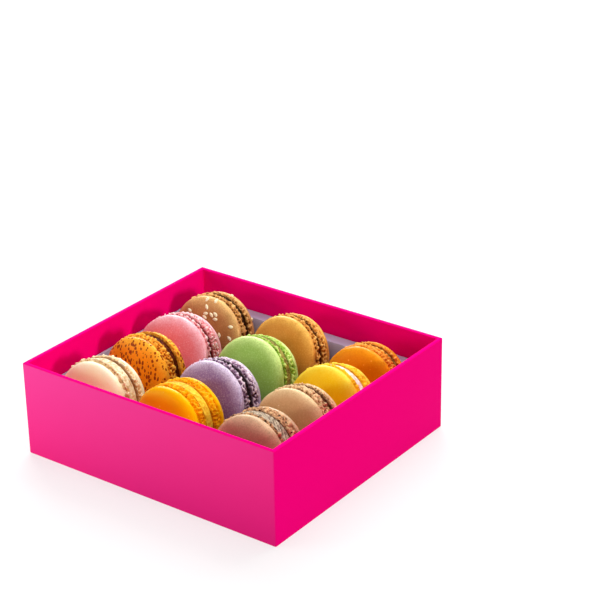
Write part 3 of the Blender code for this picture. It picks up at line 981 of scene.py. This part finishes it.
def cut_ridges(piece, side_rows):
    """Slanted ridges round the filling's side, as its nozzle leaves them."""
    points = points_of(piece)
    x, y, z = points.T
    angle = np.arctan2(y, x)
    wave = np.sin(RIDGE_TURNS * angle + RIDGE_SLANT * z + RIDGE_SWAY * np.sin(RIDGE_SWAYS * angle))
    points[:, :2] *= (1 + RIDGE_REACH * wave * side_rows / np.maximum(np.hypot(x, y), MM))[:, None]
    set_points(piece, points)
    set_attribute(piece, "ridge", wave)


def make_filling(macaron, number):
    """The filling between the shells, uneven round its side."""
    name = f"{macaron.name}_filling"
    top = macaron.filling_front * MM - GAP / 2
    bottom = macaron.filling_back * MM + GAP / 2
    width = LOOKS[macaron.name].filling_width
    radius = shell_radius(macaron)
    piece = turned_piece(f"{name}_layer", filling_section(radius, top, bottom, width))
    x, y, z = points_of(piece).T
    inside = np.minimum(top - z, z - bottom) / ((top - bottom) / 2)
    side_rows = (np.hypot(x, y) > SIDE_START * radius) * np.clip(inside * 2, 0, 1)
    set_weights(piece, "side_rows", side_rows)
    if macaron.name in RIDGED:
        cut_ridges(piece, side_rows)
    shape_by_hand(piece, macaron, random.Random(number))
    piece.matrix_world = macaron_place(macaron)
    settle(piece)
    displace(piece, FILLING_SWELLS, "side_rows")
    apply_all(piece)
    shade(piece, FILLING_SMOOTH)
    piece.data.materials.append(filling_material(macaron.name))
    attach(piece, "root")
    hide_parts(name)


def seed_place(macaron, side, away, round_axis, turn):
    """A spot on a dome, and the turn that lays a seed on the slope there."""
    radius = away * MM
    dome_radius = DOME_WIDTH * shell_radius(macaron)
    crease, dome = crease_and_dome(macaron, side)
    height = dome_height(radius, dome_radius, dome)
    inward = dome_height(radius - SLOPE_STEP, dome_radius, dome)
    slope = math.atan2(inward - height, SLOPE_STEP)
    return (
        macaron_place(macaron)
        @ Matrix.Rotation(math.radians(round_axis), 4, "Z")
        @ Matrix.Translation((radius, 0, crease + side * (LIP + height - SEED_SUNK)))
        @ Matrix.Rotation(side * slope, 4, "Y")
        @ Matrix.Rotation(math.radians(turn), 4, "Z")
    )


def add_seed(place):
    """One seed, drawn to a point at one end."""
    bpy.ops.mesh.primitive_uv_sphere_add(segments=16, ring_count=10, radius=1.0)
    seed = bpy.context.active_object
    points = points_of(seed)
    points[:, 1] *= 1 - SEED_TAPER * np.clip(points[:, 0], 0, 1) ** SEED_TAPER_POWER
    set_points(seed, points)
    seed.data.transform(place @ Matrix.Diagonal((*SEED_SIZE, 1.0)))
    return seed


def make_seeds(macaron):
    """The sesame seeds on both domes, as one piece."""
    bpy.ops.object.select_all(action="DESELECT")
    lying = [(1, spot) for spot in FRONT_SEEDS] + [(-1, spot) for spot in BACK_SEEDS]
    seeds = [add_seed(seed_place(macaron, side, *spot)) for side, spot in lying]
    only(seeds[0])
    for seed in seeds:
        seed.select_set(True)
    bpy.ops.object.join()
    piece = name_piece("sesame_seeds")
    shade(piece, SHELL_SMOOTH)
    piece.data.materials.append(seed_material())
    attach(piece, "root")


def make_tray():
    """Four walls and a floor of covered card, with softly rounded folds."""
    bpy.ops.object.select_all(action="DESELECT")
    bpy.ops.mesh.primitive_cube_add(size=1.0, location=(0, 0, TRAY_HEIGHT / 2))
    tray = name_piece("tray_card")
    tray.dimensions = (TRAY_LENGTH, TRAY_WIDTH, TRAY_HEIGHT)
    bpy.context.view_layer.update()
    settle(tray)
    bpy.ops.object.mode_set(mode="EDIT")
    bpy.ops.mesh.select_all(action="DESELECT")
    bpy.ops.mesh.select_mode(type="FACE")
    bpy.ops.object.mode_set(mode="OBJECT")
    for face in tray.data.polygons:
        face.select = face.normal.z > 0.5
    bpy.ops.object.mode_set(mode="EDIT")
    bpy.ops.mesh.delete(type="ONLY_FACE")
    bpy.ops.object.mode_set(mode="OBJECT")
    walls = tray.modifiers.new("card_thickness", "SOLIDIFY")
    walls.thickness = CARD
    walls.offset = -1
    walls.use_even_offset = True
    folds = tray.modifiers.new("rounded_folds", "BEVEL")
    folds.width = CARD_ROUND
    folds.segments = FOLD_SEGMENTS
    folds.limit_method = "ANGLE"
    apply_all(tray)
    shade(tray, FOLD_SMOOTH)
    tray.data.materials.append(card_material())
    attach(tray, "root")
    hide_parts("tray")


def sheet_height(x, y, half_width):
    """Height of the insert's sheet: rim, troughs between webs, ridges and sloping end walls."""
    height = np.full(x.shape, RIM_Z)
    for column in range(COLUMNS):
        across = np.abs(x - column_x(column))
        trough = TROUGH_AXIS_Z - np.sqrt(np.clip(TROUGH_RADIUS**2 - across**2, 0, None))
        height = np.where(across < TROUGH_HALF_WIDTH, trough, height)
    between = np.abs(x) < column_x(COLUMNS - 1)
    height = np.where(between, np.minimum(height, WEB_Z), height)

    front = -half_width + FRONT_RIM
    back = half_width - BACK_RIM
    lines = [(-half_width, RIM_Z), (front, RIM_Z), (front + WALL_DRAFT, 0)]
    for row in range(ROWS - 1):
        ridge = (row_y(row) + row_y(row + 1)) / 2 - RIDGE_FORWARD
        lines += [(ridge - RIDGE_HALF_WIDTH, 0), (ridge, RIDGE_Z), (ridge + RIDGE_HALF_WIDTH, 0)]
    lines += [(back - BACK_WALL_SLOPE, 0), (back, RIM_Z), (half_width, RIM_Z)]
    lowest = np.interp(y, [line[0] for line in lines], [line[1] for line in lines])
    return np.maximum(height, lowest)


def drawn_sheet(half_length, half_width):
    """A fine grid drawn down into the troughs, softened all over but for its edge."""
    bpy.ops.object.select_all(action="DESELECT")
    bpy.ops.mesh.primitive_grid_add(
        x_subdivisions=round(2 * half_length / SHEET_STEP),
        y_subdivisions=round(2 * half_width / SHEET_STEP),
        size=2.0,
    )
    insert = name_piece("insert_sheet")
    points = points_of(insert)
    points[:, 0] *= half_length
    points[:, 1] *= half_width
    points[:, 2] = sheet_height(points[:, 0], points[:, 1], half_width)
    set_points(insert, points)

    inner = (np.abs(points[:, 0]) < half_length - MM) & (np.abs(points[:, 1]) < half_width - MM)
    set_weights(insert, "inner", inner)
    soften = insert.modifiers.new("mould_radii", "SMOOTH")
    soften.factor = MOULD_SOFTENING
    soften.iterations = MOULD_PASSES
    soften.vertex_group = "inner"
    apply_all(insert)
    return insert


def draw_skirt(insert, half_length, half_width):
    """Draws the sheet's edge down into a skirt that stands out a little at its foot."""
    only(insert)
    bpy.ops.object.mode_set(mode="EDIT")
    bpy.ops.mesh.select_mode(type="EDGE")
    bpy.ops.mesh.select_all(action="DESELECT")
    bpy.ops.mesh.select_non_manifold()
    down = {"value": (0, 0, CARD + GAP - RIM_Z)}
    bpy.ops.mesh.extrude_region_move(TRANSFORM_OT_translate=down)
    grow = (1 + SKIRT_DRAFT / half_length, 1 + SKIRT_DRAFT / half_width, 1)
    bpy.ops.transform.resize(value=grow, center_override=(0, 0, CARD + GAP))
    bpy.ops.mesh.select_all(action="SELECT")
    bpy.ops.mesh.normals_make_consistent(inside=False)
    bpy.ops.object.mode_set(mode="OBJECT")
    # The faces now agree, but they may all point down.
    top = max(insert.data.polygons, key=lambda face: face.center.z)
    if top.normal.z < 0:
        insert.data.flip_normals()


def make_insert():
    """A thin sheet with three troughs, a rim round them and a skirt that stands on the tray's floor."""
    half_length = TRAY_LENGTH / 2 - CARD - SKIRT_PLAY - SKIRT_DRAFT
    half_width = TRAY_WIDTH / 2 - CARD - SKIRT_PLAY - SKIRT_DRAFT
    insert = drawn_sheet(half_length, half_width)
    draw_skirt(insert, half_length, half_width)
    wall = insert.modifiers.new("sheet_thickness", "SOLIDIFY")
    wall.thickness = SHEET
    wall.offset = -1
    apply_all(insert)
    shade(insert, FOLD_SMOOTH)
    insert.data.materials.append(plastic_material())
    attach(insert, "root")
    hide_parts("insert")


def make_floor():
    bpy.ops.object.select_all(action="DESELECT")
    bpy.ops.mesh.primitive_plane_add(size=FLOOR_SIZE, location=(0, 0, 0))
    floor = name_piece("studio_floor")
    material, tree, shader = new_material("pale_floor")
    feed(
        tree, shader,
        Base_Color=FLOOR_COLOUR,
        Roughness=FLOOR_ROUGHNESS,
        Emission_Color=WHITE,
        Emission_Strength=FLOOR_GLOW,
    )
    floor.data.materials.append(material)


def add_light(light):
    bpy.ops.object.light_add(type="AREA", location=light.place)
    lamp = bpy.context.active_object
    lamp.name = lamp.data.name = light.name
    lamp.data.shape = "SQUARE"
    lamp.data.size = light.width
    lamp.data.energy = light.power
    lamp.rotation_euler = (Vector(LIT_POINT) - Vector(light.place)).to_track_quat("-Z", "Y").to_euler()


def light_studio():
    world = bpy.data.worlds.new("studio")
    bpy.context.scene.world = world
    world.use_nodes = True
    feed(world.node_tree, world.node_tree.nodes["Background"], Color=WHITE, Strength=WORLD_LIGHT)
    for light in LIGHTS:
        add_light(light)
    bpy.context.scene.view_settings.view_transform = "Standard"


def place_camera():
    azimuth, elevation, roll = (
        math.radians(angle) for angle in (CAMERA_AZIMUTH, CAMERA_ELEVATION, CAMERA_ROLL)
    )
    back = Vector((math.sin(azimuth) * math.cos(elevation), -math.cos(azimuth) * math.cos(elevation),
                   math.sin(elevation)))
    level = Vector((math.cos(azimuth), math.sin(azimuth), 0))
    upright = back.cross(level)
    right = math.cos(roll) * level + math.sin(roll) * upright
    up = -math.sin(roll) * level + math.cos(roll) * upright
    along = [part * CAMERA_UNIT for part in CAMERA_PLACE]
    bpy.ops.object.camera_add(location=along[0] * right + along[1] * up + along[2] * back)
    camera = bpy.context.active_object
    camera.name = camera.data.name = "photo_camera"
    camera.rotation_euler = Matrix((right, up, back)).transposed().to_euler()
    camera.data.sensor_width = SENSOR
    camera.data.lens = CAMERA_FOCAL / PHOTO_WIDTH * SENSOR
    bpy.context.scene.camera = camera


def main():
    make_tray()
    make_insert()
    for order, macaron in enumerate(MACARONS):
        number = FIRST_DRAW + 3 * order
        material = shell_material(macaron.name)
        make_shell(macaron, 1, number, material)
        make_filling(macaron, number + 1)
        make_shell(macaron, -1, number + 2, material)
        if macaron.name == SEEDED:
            make_seeds(macaron)
    make_floor()
    light_studio()
    place_camera()


main()
